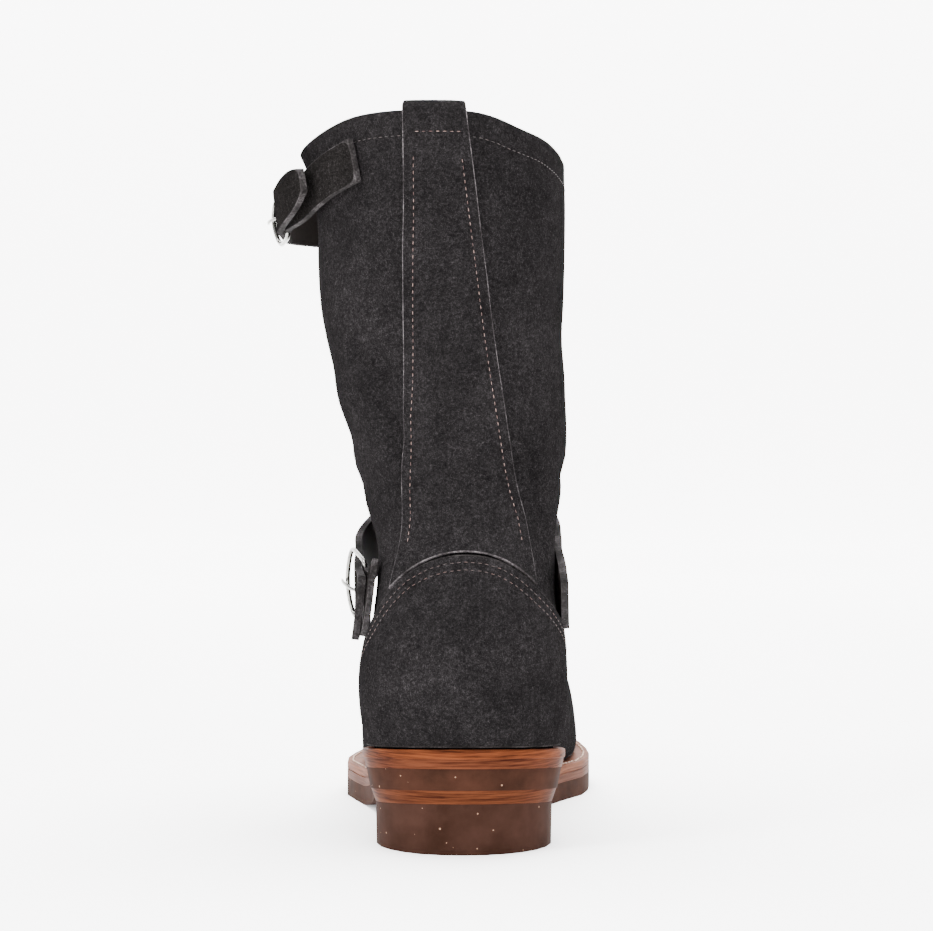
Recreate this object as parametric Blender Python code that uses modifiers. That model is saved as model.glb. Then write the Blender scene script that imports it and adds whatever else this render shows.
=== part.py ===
# Engineer boot, left foot, standing empty on its sole.
# +Y runs from heel to toe, +X to the inner side of the foot, +Z up, in metres.
# The origin is on the floor, at the centre of the heel's tread.
import math
from bisect import bisect_right
from collections import namedtuple

import bmesh
import bpy
import numpy as np
from mathutils import Vector

MM = 0.001

# Overall sizes
SOLE_LENGTH = 302 * MM
BALL_WIDTH = 107 * MM
BOOT_HEIGHT = 278 * MM
COLLAR_DIP = 9 * MM
COLLAR_LEAN = 4.5 * MM

# Sole layers, bottom to top
HEEL_RISE = 25.0 * MM
BREAST_RISE = 18.8 * MM
BREAST = 70 * MM
ARCH_END = 160 * MM
SPRING_START = 214 * MM
TOE_SPRING = 10 * MM
LIFT = 4.9 * MM
OUTSOLE = 7.8 * MM
MIDSOLE = 3.3 * MM
WELT = 3.3 * MM
INSOLE = 3.0 * MM

# Edges of the sole layers
HEEL_MARGIN = 1.8 * MM
WELT_MARGIN = 6.8 * MM
BLOCK_INSET = 5.2 * MM
LIFT_INSET = 3.4 * MM
OUTSOLE_INSET = 1.5 * MM
MIDSOLE_INSET = 0.6 * MM
HEEL_ROUND = 44 * MM
WAIST_FADE = 0.8
TOE_ROUND = 84 * MM

# Leathers and clearances
UPPER_WALL = 2.0 * MM
OVERLAY = 2.0 * MM
GAP = 0.3 * MM
OVERLAY_GAP = 0.75 * MM
EDGE_CLEARANCE = 0.5 * MM

# Pull strap folded over the collar
PULL_WIDTH = 22.7 * MM
BACKSTAY_WIDTH = 49.4 * MM
PULL_INSIDE = 32 * MM
PULL_TAPER = 0.62

# Straps and buckles
INSTEP_WIDTH = 25.4 * MM
INSTEP_LEATHER = 3.0 * MM
COLLAR_WIDTH = 17.0 * MM
COLLAR_LEATHER = 2.6 * MM
BASE_LEATHER = 2.5 * MM
INSTEP_BUCKLE_LENGTH = 23 * MM
COLLAR_BUCKLE_LENGTH = 19 * MM
COLLAR_TIP = 12 * MM
TIP_WIDTH = 0.55
BUCKLE_ZONE = 2.5 * MM
BASE_LEAD = 4 * MM
BASE_DROP = 1.0 * MM
WIRE = 1.1 * MM
PRONG = 0.8 * MM
BUCKLE_BOW = 2.2 * MM
BUCKLE_CORNER = 3 * MM
HOLE_MARGIN = 2.1 * MM

# A prong's path: steps from its hinge to its hole and beyond, and heights over the strap's middle
PRONG_RISE = 2.2 * MM
PRONG_HOLE = 4.6 * MM
PRONG_OUT = 7.0 * MM
PRONG_TIP = 1.6 * MM
PRONG_BEND = 0.6 * MM

# Height at which the overlays start above the welt, in rows of the upper
FOOT_START = 0.35

# Fineness of the meshes; CROWDING spaces the lines that bunch up at an overlay's edge
CROWDING = 0.14
BACKSTAY_LINES = 5
HALF_RING = 26
CUT_STEP = 7 * MM

# Plan of the sole: centre and half width in ball widths
SolePlan = namedtuple("SolePlan", "along centre half")
SOLE_PLAN = [
    SolePlan(0.00, 0.000, 0.366),
    SolePlan(0.17, 0.000, 0.366),
    SolePlan(0.30, -0.020, 0.333),
    SolePlan(0.42, -0.032, 0.322),
    SolePlan(0.52, -0.025, 0.385),
    SolePlan(0.62, 0.004, 0.487),
    SolePlan(0.69, 0.022, 0.505),
    SolePlan(0.80, 0.055, 0.487),
    SolePlan(0.90, 0.085, 0.460),
    SolePlan(1.00, 0.112, 0.440),
]

# Side view of the upper's rings: y in sole lengths from the heel's back, z in boot heights
Profile = namedtuple("Profile", "back_along back_up front_along front_up steps")
# Top view of each ring in ball widths, its end rounds in ring lengths, and how far
# it follows the bend of the sole
Plan = namedtuple(
    "Plan", "back_x heel_x heel_half mid_x mid_half fore_x fore_half tip_x back_round front_round keep"
)
UPPER_RINGS = {
    "wall_low": (
        Profile(0.008, 0.160, 0.9735, 0.108, 1),
        Plan(0, -0.002, 0.337, -0.030, 0.292, 0.022, 0.416, 0.112, 0.130, 0.30, 1.0)),
    "wall_mid": (
        Profile(-0.002, 0.198, 0.9685, 0.144, 1),
        Plan(0, -0.002, 0.350, -0.017, 0.308, 0.020, 0.419, 0.107, 0.130, 0.36, 0.9)),
    "shoulder": (
        Profile(-0.006, 0.245, 0.9420, 0.183, 2),
        Plan(0, -0.002, 0.353, -0.009, 0.308, 0.019, 0.414, 0.103, 0.135, 0.45, 0.7)),
    "dome_low": (
        Profile(-0.005, 0.288, 0.8910, 0.209, 2),
        Plan(0, 0.004, 0.343, -0.005, 0.303, 0.019, 0.383, 0.093, 0.145, 0.55, 0.5)),
    "dome_mid": (
        Profile(0.000, 0.327, 0.8210, 0.227, 1),
        Plan(0, 0.006, 0.336, 0.000, 0.295, 0.019, 0.346, 0.079, 0.155, 0.60, 0.3)),
    "dome_top": (
        Profile(0.008, 0.363, 0.7450, 0.245, 1),
        Plan(0, 0.007, 0.327, 0.000, 0.290, 0.014, 0.290, 0.065, 0.175, 0.62, 0.15)),
    "tongue": (
        Profile(0.017, 0.396, 0.6620, 0.273, 1),
        Plan(0.003, 0.009, 0.322, 0.003, 0.294, 0.011, 0.286, 0.047, 0.200, 0.62, 0)),
    "instep": (
        Profile(0.023, 0.428, 0.5830, 0.313, 1),
        Plan(0.005, 0.009, 0.324, 0.005, 0.304, 0.009, 0.286, 0.033, 0.235, 0.60, 0)),
    "bend": (
        Profile(0.028, 0.460, 0.5130, 0.363, 1),
        Plan(0.002, 0.009, 0.329, 0.006, 0.322, 0.007, 0.295, 0.019, 0.280, 0.57, 0)),
    "ankle": (
        Profile(0.030, 0.496, 0.4600, 0.424, 1),
        Plan(-0.014, -0.003, 0.350, -0.005, 0.355, -0.005, 0.330, 0.000, 0.340, 0.54, 0)),
    "shin": (
        Profile(0.028, 0.540, 0.4300, 0.496, 1),
        Plan(-0.021, -0.015, 0.390, -0.015, 0.393, -0.015, 0.375, -0.009, 0.420, 0.52, 0)),
    "calf_low": (
        Profile(0.023, 0.594, 0.4240, 0.576, 1),
        Plan(-0.030, -0.025, 0.401, -0.025, 0.401, -0.025, 0.395, -0.023, 0.480, 0.51, 0)),
    "calf_mid": (
        Profile(0.007, 0.748, 0.4470, 0.755, 3),
        Plan(-0.058, -0.080, 0.452, -0.081, 0.452, -0.081, 0.452, -0.080, 0.500, 0.50, 0)),
    "calf_top": (
        Profile(0.000, 0.863, 0.4670, 0.874, 2),
        Plan(-0.076, -0.080, 0.459, -0.080, 0.459, -0.080, 0.459, -0.084, 0.500, 0.50, 0)),
    "collar": (
        Profile(-0.003, 1.000, 0.4800, 1.000, 2),
        Plan(-0.101, -0.092, 0.469, -0.092, 0.469, -0.092, 0.469, -0.089, 0.500, 0.50, 0)),
}

# Soft folds of the shaft: side (-1 outer, +1 inner), place, depth in wall thicknesses
# (+ stands out) and spreads, along in sole lengths and up in boot heights
Fold = namedtuple("Fold", "side along up depth along_spread up_spread")
FOLDS = [
    Fold(-1, 0.21, 0.965, 2.6, 0.110, 0.030),
    Fold(-1, 0.05, 0.590, -1.3, 0.030, 0.060),
    Fold(-1, 0.16, 0.600, 0.9, 0.050, 0.060),
    Fold(1, 0.10, 0.500, -1.2, 0.035, 0.040),
    Fold(1, 0.22, 0.560, 0.8, 0.050, 0.040),
    Fold(-1, 0.30, 0.470, -1.0, 0.050, 0.025),
    Fold(1, 0.30, 0.470, -1.0, 0.050, 0.025),
]

# Top edge of the counter: share of the way from the back to its front edge, z in boot heights
CounterEdge = namedtuple("CounterEdge", "share outer inner")
COUNTER_TOP = [
    CounterEdge(0.00, 0.404, 0.404),
    CounterEdge(0.12, 0.400, 0.401),
    CounterEdge(0.24, 0.389, 0.391),
    CounterEdge(0.36, 0.370, 0.372),
    CounterEdge(0.46, 0.344, 0.349),
    CounterEdge(0.56, 0.310, 0.326),
    CounterEdge(0.66, 0.281, 0.304),
    CounterEdge(0.80, 0.256, 0.282),
    CounterEdge(1.00, 0.205, 0.250),
]
COUNTER_FRONT = 0.272

# Top edge of the vamp: share of the way from the counter to the front, z in boot heights
VampEdge = namedtuple("VampEdge", "share up")
VAMP_TOP = [
    VampEdge(0.00, 0.225),
    VampEdge(0.25, 0.290),
    VampEdge(0.50, 0.345),
    VampEdge(0.75, 0.385),
    VampEdge(1.00, 0.398),
]

# Routes of the straps, by their inner face: side, place on the boot, stand-off in steps
# of STAND, and skew, the share of its width by which the upper edge is drawn back
STAND = 1 * MM
Way = namedtuple("Way", "side along up off skew")
INSTEP_ROUTE = [
    Way(1, 0.126, 0.339, 1.4, -0.55),
    Way(1, 0.205, 0.368, 1.4, -0.10),
    Way(1, 0.280, 0.397, 1.7, 0),
    Way(1, 0.360, 0.424, 2.6, 0),
    Way(1, 0.425, 0.446, 3.2, 0),
    Way(1, 0.480, 0.456, 3.4, 0),
    Way(-1, 0.425, 0.432, 7.6, 0),
    Way(-1, 0.370, 0.391, 13.2, 0),
]
INSTEP_BUCKLE_AT = Way(-1, 0.265, 0.347, 9.0, 0)
INSTEP_TAIL = [
    Way(-1, 0.160, 0.322, 4.8, 0),
]
INSTEP_BASE_ROUTE = [
    Way(-1, 0.105, 0.343, 1.3, -0.35),
    Way(-1, 0.135, 0.333, 1.4, -0.15),
    Way(-1, 0.170, 0.328, 2.0, 0),
]
COLLAR_ROUTE = [
    Way(-1, 0.430, 0.888, 0.9, 0),
    Way(-1, 0.390, 0.888, 4.2, 0),
    Way(-1, 0.345, 0.885, 10.2, 0),
]
COLLAR_BUCKLE_AT = Way(-1, 0.262, 0.890, 13.6, 0)
COLLAR_TAIL = [
    Way(-1, 0.160, 0.907, 11.0, 0),
    Way(-1, 0.112, 0.922, 8.4, 0),
]
COLLAR_BASE_ROUTE = [
    Way(-1, 0.040, 0.938, 0.9, 0),
    Way(-1, 0.080, 0.926, 1.1, 0),
    Way(-1, 0.125, 0.912, 2.6, 0),
    Way(-1, 0.168, 0.901, 5.0, 0),
]

# Colours from the photograph: sRGB hex, roughness, metallic
FINISHES = {
    "suede": ("302f31", 0.95, 0.0),
    "rubber": ("52372d", 0.75, 0.0),
    "sole_leather": ("9b5f3e", 0.55, 0.0),
    "welt_leather": ("c39a84", 0.6, 0.0),
    "insole_leather": ("b08a68", 0.7, 0.0),
    "nickel": ("c9c9c6", 0.25, 1.0),
}


def lerp(a, b, t):
    return a + (b - a) * t


def fade(edge0, edge1, value):
    """Rises smoothly from 0 at edge0 to 1 at edge1."""
    t = min(max((value - edge0) / (edge1 - edge0), 0), 1)
    return t * t * (3 - 2 * t)


def smooth(pairs, t):
    """Reads a smooth curve through (place, value) pairs, flat beyond its ends."""
    places = [place for place, _ in pairs]
    values = [value for _, value in pairs]
    if t <= places[0]:
        return values[0]
    if t >= places[-1]:
        return values[-1]
    k = bisect_right(places, t) - 1

    def slope(j):
        if j == 0 or j == len(places) - 1:
            return 0
        return (values[j + 1] - values[j - 1]) / (places[j + 1] - places[j - 1])

    span = places[k + 1] - places[k]
    u = (t - places[k]) / span
    rise = slope(k) * span * (u ** 3 - 2 * u * u + u) + slope(k + 1) * span * (u ** 3 - u * u)
    return lerp(values[k], values[k + 1], u * u * (3 - 2 * u)) + rise


def end_round(distance, radius, power=2.1):
    """Share of the full width left at a distance from a rounded end."""
    if distance >= radius:
        return 1
    return (1 - (1 - distance / radius) ** power) ** (1 / power)


HEEL_BACK = -(BREAST / 2)
SHARES = [(1 - math.cos(math.pi * k / HALF_RING)) / 2 for k in range(HALF_RING + 1)]
RING = [(1, k) for k in range(HALF_RING + 1)] + [(-1, k) for k in range(HALF_RING - 1, 0, -1)]
RING_COUNT = len(RING)


def sole_line(y):
    """Height of the outsole's underside above the floor."""
    d = y - HEEL_BACK
    if d < BREAST:
        return lerp(HEEL_RISE, BREAST_RISE, max(d, 0) / BREAST)
    if d < ARCH_END:
        span = ARCH_END - BREAST
        u = (d - BREAST) / span
        start = (BREAST_RISE - HEEL_RISE) / BREAST * span
        return BREAST_RISE * (2 * u ** 3 - 3 * u * u + 1) + start * (u ** 3 - 2 * u * u + u)
    if d < SPRING_START:
        return 0
    return TOE_SPRING * ((d - SPRING_START) / (SOLE_LENGTH - SPRING_START)) ** 2


def midsole_line(y):
    return sole_line(y) + OUTSOLE + GAP


def seat_line(y):
    """Height of the welt's and insole's underside."""
    return midsole_line(y) + MIDSOLE + GAP


def sole_ring():
    """Outline of the sole from the heel's back round by the inner side."""
    points = []
    for side, k in RING:
        t = SHARES[k]
        d = t * SOLE_LENGTH
        centre = smooth([(row.along, row.centre) for row in SOLE_PLAN], t) * BALL_WIDTH
        half = smooth([(row.along, row.half) for row in SOLE_PLAN], t) * BALL_WIDTH
        half *= end_round(d, HEEL_ROUND) * end_round(SOLE_LENGTH - d, TOE_ROUND)
        points.append((centre + side * half, HEEL_BACK + d))
    return points


def inset(ring, distance):
    """Moves each point of a flat ring inwards by distance(y)."""
    result = []
    for k, (x, y) in enumerate(ring):
        before = ring[k - 1]
        after = ring[(k + 1) % len(ring)]
        along = Vector((after[0] - before[0], after[1] - before[1])).normalized()
        reach = distance(y)
        result.append((x - along.y * reach, y + along.x * reach))
    return result


def heel_inset(amount):
    """An inset of the heel that fades out in the waist."""
    def distance(y):
        d = y - HEEL_BACK
        return amount * (1 - fade(BREAST, ARCH_END * WAIST_FADE, d)) + 1e-7
    return distance


def margin(y):
    """Welt that shows beyond the upper: narrow at heel and waist, wide at the forefoot."""
    return lerp(HEEL_MARGIN, WELT_MARGIN, fade(0.40, 0.62, (y - HEEL_BACK) / SOLE_LENGTH))


def feather_distance(y):
    return margin(y) + OVERLAY + OVERLAY_GAP


SOLE_RING = sole_ring()
FEATHER = inset(SOLE_RING, feather_distance)


def collection(name):
    group = bpy.data.collections.new(name)
    bpy.context.scene.collection.children.link(group)
    return group


def srgb(hexcode):
    channels = [int(hexcode[k:k + 2], 16) / 255 for k in (0, 2, 4)]
    linear = [c / 12.92 if c <= 0.04045 else ((c + 0.055) / 1.055) ** 2.4 for c in channels]
    return (*linear, 1)


def material(name, finish):
    colour, roughness, metallic = FINISHES[finish]
    mat = bpy.data.materials.new(name)
    mat.use_nodes = True
    shader = mat.node_tree.nodes["Principled BSDF"]
    shader.inputs["Base Color"].default_value = srgb(colour)
    shader.inputs["Roughness"].default_value = roughness
    shader.inputs["Metallic"].default_value = metallic
    return mat


def add_mesh(name, bm, finish, group):
    mesh = bpy.data.meshes.new(name)
    bm.to_mesh(mesh)
    bm.free()
    mesh.shade_smooth()
    mesh.set_sharp_from_angle(angle=math.radians(35))
    obj = bpy.data.objects.new(name, mesh)
    group.objects.link(obj)
    mesh.materials.append(material(name, finish))
    return obj


def face_out(bm):
    """Turns the faces of a closed body outwards."""
    bmesh.ops.recalc_face_normals(bm, faces=bm.faces)
    if bm.calc_volume(signed=True) < 0:
        bmesh.ops.reverse_faces(bm, faces=bm.faces)


def loft(rows, around=False, ends=False):
    """Skins rows of points; around closes each row, ends caps the first and last."""
    bm = bmesh.new()
    grid = [[bm.verts.new(point) for point in row] for row in rows]
    count = len(grid[0])
    for low, high in zip(grid, grid[1:]):
        for k in range(count if around else count - 1):
            after = (k + 1) % count
            bm.faces.new((low[k], low[after], high[after], high[k]))
    if ends:
        bm.faces.new(reversed(grid[0]))
        bm.faces.new(grid[-1])
        face_out(bm)
    return bm


def solidify(obj, thickness, offset):
    wall = obj.modifiers.new("Wall", "SOLIDIFY")
    wall.thickness = thickness
    wall.offset = offset
    wall.use_even_offset = True
    return wall


def cut_stations():
    """Places along the sole where its layers are sliced so that they can bend."""
    places = []
    d = BREAST
    while d < ARCH_END + CUT_STEP:
        places.append(d)
        d += CUT_STEP
    d = SPRING_START
    while d < SOLE_LENGTH - CUT_STEP:
        places.append(d)
        d += 2 * CUT_STEP
    return [HEEL_BACK + place for place in places]


def plate(name, ring, top_ring, low, high, finish, group):
    """A flat layer with the ring's outline, bent between low(y) and high(y)."""
    bm = bmesh.new()
    bottom = [bm.verts.new((x, y, 0)) for x, y in ring]
    raised = {tuple(v.co): top for v, top in zip(bottom, top_ring)}
    face = bm.faces.new(bottom)
    grown = bmesh.ops.extrude_face_region(bm, geom=[face])["geom"]
    for v in [g for g in grown if isinstance(g, bmesh.types.BMVert)]:
        x, y = raised[tuple(v.co)]
        v.co = (x, y, 1)
    for y in cut_stations():
        bmesh.ops.bisect_plane(
            bm, geom=bm.verts[:] + bm.edges[:] + bm.faces[:], dist=1e-6,
            plane_co=(0, y, 0), plane_no=(0, 1, 0))
    for v in bm.verts:
        v.co.z = lerp(low(v.co.y), high(v.co.y), v.co.z)
    face_out(bm)
    return add_mesh(name, bm, finish, group)


def heel_ring(amount):
    """The rear of the sole's outline, inset and cut off square at the breast."""
    breast = HEEL_BACK + BREAST
    ring = inset(SOLE_RING, heel_inset(amount))
    result = []
    for k, point in enumerate(ring):
        after = ring[(k + 1) % len(ring)]
        if point[1] < breast:
            result.append(point)
        if (point[1] < breast) != (after[1] < breast):
            t = (breast - point[1]) / (after[1] - point[1])
            result.append((lerp(point[0], after[0], t), breast))
    return result


def make_sole(group):
    def lift_top(y):
        return sole_line(y) - GAP

    def lift_bottom(y):
        return lift_top(y) - LIFT

    plate("outsole", inset(SOLE_RING, heel_inset(LIFT_INSET - GAP)),
          inset(SOLE_RING, heel_inset(OUTSOLE_INSET)),
          sole_line, lambda y: sole_line(y) + OUTSOLE, "rubber", group)
    plate("midsole", inset(SOLE_RING, heel_inset(OUTSOLE_INSET - GAP)),
          inset(SOLE_RING, heel_inset(MIDSOLE_INSET)),
          midsole_line, lambda y: midsole_line(y) + MIDSOLE, "sole_leather", group)
    plate("heel_lift", heel_ring(BLOCK_INSET), heel_ring(LIFT_INSET),
          lift_bottom, lift_top, "sole_leather", group)
    plate("heel_block", heel_ring(BLOCK_INSET + GAP), heel_ring(BLOCK_INSET),
          lambda y: 0, lambda y: lift_bottom(y) - GAP, "rubber", group)

    def insole_distance(y):
        return feather_distance(y) + UPPER_WALL + GAP

    outline = inset(SOLE_RING, insole_distance)
    plate("insole", outline, outline, seat_line, lambda y: seat_line(y) + INSOLE,
          "insole_leather", group)


def make_welt(group):
    """A ring of four-cornered sections around the upper's lower edge."""
    outer = inset(SOLE_RING, heel_inset(0))
    inner = inset(SOLE_RING, lambda y: feather_distance(y) - GAP)
    sections = []
    for k in range(RING_COUNT):
        after = (k + 1) % RING_COUNT
        middle = (outer[k][1] + outer[after][1]) / 2 - HEEL_BACK
        parts = 2 if BREAST * 0.8 < middle < ARCH_END * 1.05 else 1
        for part in range(parts):
            t = part / parts
            out = (lerp(outer[k][0], outer[after][0], t), lerp(outer[k][1], outer[after][1], t))
            into = (lerp(inner[k][0], inner[after][0], t), lerp(inner[k][1], inner[after][1], t))
            sections.append([
                (*out, seat_line(out[1])), (*out, seat_line(out[1]) + WELT),
                (*into, seat_line(into[1]) + WELT), (*into, seat_line(into[1]))])
    sections.append(sections[0])
    bm = loft(sections, around=True)
    bmesh.ops.remove_doubles(bm, verts=bm.verts, dist=1e-6)
    face_out(bm)
    return add_mesh("welt", bm, "welt_leather", group)


def ring_points(profile, plan):
    """One ring of the upper, worked out from its side view and its top view."""
    back = HEEL_BACK + profile.back_along * SOLE_LENGTH
    front = HEEL_BACK + profile.front_along * SOLE_LENGTH
    length = front - back
    centres = [(0, plan.back_x), (0.17, plan.heel_x), (0.42, plan.mid_x),
               (0.66, plan.fore_x), (1, plan.tip_x)]
    halves = [(0.17, plan.heel_half), (0.42, plan.mid_half), (0.66, plan.fore_half)]
    points = []
    for side, k in RING:
        t = SHARES[k]
        y = lerp(back, front, t)
        half = smooth(halves, t) * BALL_WIDTH
        half *= end_round(t, plan.back_round) * end_round(1 - t, plan.front_round)
        x = smooth(centres, t) * BALL_WIDTH + side * half
        sag = seat_line(y) - lerp(seat_line(back), seat_line(front), t)
        z = lerp(profile.back_up, profile.front_up, t) * BOOT_HEIGHT + plan.keep * sag
        points.append((x, y, z))
    return np.array(points)


def collar_dip(side, t):
    """How far the collar dips at its sides; its inner side also lies lower behind."""
    lean = fade(0, 0.12, t) * (1 - fade(0.7, 1, t)) if side > 0 else 0
    return COLLAR_DIP * math.sin(math.pi * t) ** 2 + COLLAR_LEAN * lean


def upper_grid():
    """All rings of the upper's outer face, from the feather edge to the collar."""
    low = np.array([(x, y, seat_line(y) + EDGE_CLEARANCE) for x, y in FEATHER])
    edge = low + [[0, 0, WELT + GAP]]
    keys = [edge]
    steps = []
    for profile, plan in UPPER_RINGS.values():
        keys.append(ring_points(profile, plan))
        steps.append(profile.steps)
    keys[-1][:, 2] -= [collar_dip(side, SHARES[k]) for side, k in RING]
    rows = [low, edge]
    for k, count in enumerate(steps):
        before = keys[max(k - 1, 0)]
        start, end = keys[k], keys[k + 1]
        after = keys[min(k + 2, len(keys) - 1)]
        for step in range(1, count + 1):
            t = step / count
            rows.append(0.5 * (2 * start + (end - before) * t
                               + (2 * before - 5 * start + 4 * end - after) * t * t
                               + (3 * start - before - 3 * end + after) * t ** 3))
    return fold_rows(np.array(rows))


def fold_rows(grid):
    """Presses the folds into the rings, level with the floor."""
    folded = grid.copy()
    for r in range(2, len(grid)):
        centre = grid[r].mean(axis=0)
        for k, (side, _) in enumerate(RING):
            x, y, z = grid[r][k]
            along = (y - HEEL_BACK) / SOLE_LENGTH
            reach = 0
            for fold in FOLDS:
                if side == fold.side:
                    a = (along - fold.along) / fold.along_spread
                    b = (z / BOOT_HEIGHT - fold.up) / fold.up_spread
                    reach += fold.depth * UPPER_WALL * math.exp(-a * a - b * b)
            out = Vector((x - centre[0], (y - centre[1]) * 0.4, 0)).normalized()
            folded[r][k] += np.array(out) * reach
    return folded


GRID = upper_grid()
ROWS = len(GRID)


def surface(column, row):
    """A point of the upper's outer face; column counts from the back, + on the inner side."""
    r0 = min(max(int(math.floor(row)), 0), ROWS - 2)
    c0 = int(math.floor(column))
    u, v = column - c0, row - r0
    a, b = c0 % RING_COUNT, (c0 + 1) % RING_COUNT
    low = lerp(GRID[r0][a], GRID[r0][b], u)
    high = lerp(GRID[r0 + 1][a], GRID[r0 + 1][b], u)
    return Vector(lerp(low, high, v))


def outward(column, row):
    """The upper's outward direction at a place."""
    row = min(max(row, 1), ROWS - 1.5)
    across = surface(column + 0.7, row) - surface(column - 0.7, row)
    up = surface(column, row + 0.6) - surface(column, row - 0.6)
    return across.cross(up).normalized()


def row_at(column, z):
    """The row at which a column of the upper reaches a height."""
    for r in range(1, ROWS - 1):
        low, high = surface(column, r).z, surface(column, r + 1).z
        if low <= z <= high:
            return r + (z - low) / (high - low)
    return 1 if z < surface(column, 1).z else ROWS - 1


def place_on_boot(way):
    """Column and row of a place given by its side, its distance from the heel and its height."""
    y = HEEL_BACK + way.along * SOLE_LENGTH
    z = way.up * BOOT_HEIGHT
    before = None
    for k in range(HALF_RING * 4 + 1):
        column = way.side * k / 4
        row = row_at(column, z)
        reached = surface(column, row).y
        if before is not None and reached >= y:
            t = (y - before[1]) / max(reached - before[1], 1e-9)
            column = lerp(before[0], column, min(max(t, 0), 1))
            break
        before = (column, reached)
    return column, row_at(column, z)


def make_upper(group):
    obj = add_mesh("upper", loft(GRID.tolist(), around=True), "suede", group)
    solidify(obj, UPPER_WALL, -1)
    return obj


def crowd(place, edge, left):
    """A grid line at its own place, or close inside the edge when it would pass it."""
    return min(place, edge - left * CROWDING)


def overlay(name, columns, high, steps, group):
    """A patch of the upper's outer face, lifted off it and given its own thickness."""
    rows = []
    for step in range(steps + 1):
        row = []
        for column in columns:
            level = crowd(1 + step, high(column), steps - step) if step else 1 + FOOT_START
            row.append(surface(column, level) + outward(column, level) * OVERLAY_GAP)
        rows.append(row)
    obj = add_mesh(name, loft(rows), "suede", group)
    solidify(obj, OVERLAY, 1)
    return obj


def counter_column():
    """The column of the counter's front edge, the same on both sides."""
    return math.acos(1 - 2 * COUNTER_FRONT) / math.pi * HALF_RING


def counter_height(column):
    share = abs(column) / counter_column()
    side = "inner" if column > 0 else "outer"
    return smooth([(row.share, getattr(row, side)) for row in COUNTER_TOP], share) * BOOT_HEIGHT


def make_counter(group):
    edge = counter_column()
    columns = [-edge] + list(range(-int(edge), int(edge) + 1)) + [edge]
    return overlay("counter", columns, lambda c: row_at(c, counter_height(c)), 11, group)


def make_vamp(group):
    span = HALF_RING - counter_column()
    start = counter_column() + (OVERLAY_GAP / SOLE_LENGTH) * RING_COUNT
    stop = RING_COUNT - start
    columns = [start] + list(range(int(start) + 1, int(stop) + 1)) + [stop]

    def top(column):
        share = 1 - abs(column - HALF_RING) / span
        up = smooth([(row.share, row.up) for row in VAMP_TOP], share) * BOOT_HEIGHT
        return row_at(column, up)

    return overlay("vamp", columns, top, 12, group)


def make_backstay(group):
    """A strip from the counter to the collar, folded over the edge and down inside."""
    top = ROWS - 1

    def half_width(z):
        share = (z - COUNTER_TOP[0].outer * BOOT_HEIGHT) / (BOOT_HEIGHT * (1 - COUNTER_TOP[0].outer))
        return lerp(BACKSTAY_WIDTH, PULL_WIDTH, min(max(share, 0), 1) ** PULL_TAPER) / 2

    def columns_at(row):
        """Columns of the strip at a row: the upper's own, and its two edges."""
        half = half_width(surface(0, row).z)
        columns = []
        for side in (-1, 1):
            edge = 0
            while abs(surface(side * (edge + 1), row).x - surface(0, row).x) < half:
                edge += 1
            near = abs(surface(side * edge, row).x - surface(0, row).x)
            far = abs(surface(side * (edge + 1), row).x - surface(0, row).x)
            edge += (half - near) / (far - near)
            columns.append([side * crowd(k, edge, BACKSTAY_LINES - k)
                            if k < BACKSTAY_LINES else side * edge
                            for k in range(1, BACKSTAY_LINES + 1)])
        return columns[0][::-1] + [0] + columns[1]

    def foot(column):
        return row_at(column, counter_height(column) + OVERLAY * 0.5)

    lowest = min(foot(column) for column in columns_at(row_at(0, COUNTER_TOP[0].outer * BOOT_HEIGHT)))
    first = math.floor(lowest)
    rows = []
    for place in range(first, top + 1):
        row = []
        for column in columns_at(max(place, foot(0))):
            level = max(place, foot(column) + (place - first) * CROWDING)
            row.append(surface(column, level) + outward(column, level) * OVERLAY_GAP)
        rows.append(row)
    turn = UPPER_WALL / 2 + OVERLAY_GAP
    crown = rows[-1]
    columns = columns_at(top)
    middles = [surface(c, top) - outward(c, top) * (UPPER_WALL / 2) for c in columns]
    for angle in (30, 60, 90, 120, 150, 180):
        a = math.radians(angle)
        rows.append([
            middle + outward(c, top) * (turn * math.cos(a)) + Vector((0, 0, turn * math.sin(a)))
            for middle, c in zip(middles, columns)])
    for drop in (0.25, 0.5, 0.75, 1.0):
        level = row_at(0, BOOT_HEIGHT - PULL_INSIDE * drop)
        rows.append([
            surface(c, level) - outward(c, level) * (UPPER_WALL + OVERLAY_GAP) for c in columns])
    crown[:] = [middle + outward(c, top) * turn for middle, c in zip(middles, columns)]
    obj = add_mesh("backstay", loft(rows), "suede", group)
    solidify(obj, OVERLAY, 1)
    return obj


def way_knot(way):
    """A strap's inner face point, outward direction and skew at a hand-chosen place."""
    column, row = place_on_boot(way)
    normal = outward(column, row)
    return surface(column, row) + normal * (way.off * STAND), normal, way.skew


def smooth_path(knots, parts=2):
    """A smooth path through knots of (point, outward, skew)."""
    path = []
    for k in range(len(knots) - 1):
        before, start = knots[max(k - 1, 0)], knots[k]
        end, after = knots[k + 1], knots[min(k + 2, len(knots) - 1)]
        for part in range(parts):
            t = part / parts
            point = 0.5 * (2 * start[0] + (end[0] - before[0]) * t
                           + (2 * before[0] - 5 * start[0] + 4 * end[0] - after[0]) * t * t
                           + (3 * start[0] - before[0] - 3 * end[0] + after[0]) * t ** 3)
            normal = start[1].lerp(end[1], t).normalized()
            path.append((point, normal, lerp(start[2], end[2], t)))
    path.append(knots[-1])
    return path


def path_frame(path, k):
    """Tangent, across and outward directions at one place of a path."""
    tangent = (path[min(k + 1, len(path) - 1)][0] - path[max(k - 1, 0)][0]).normalized()
    across = path[k][1].cross(tangent).normalized()
    if across.z < 0:
        across = -across
    normal = across.cross(tangent).normalized()
    if normal.dot(path[k][1]) < 0:
        normal = -normal
    return tangent, across, normal


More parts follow.
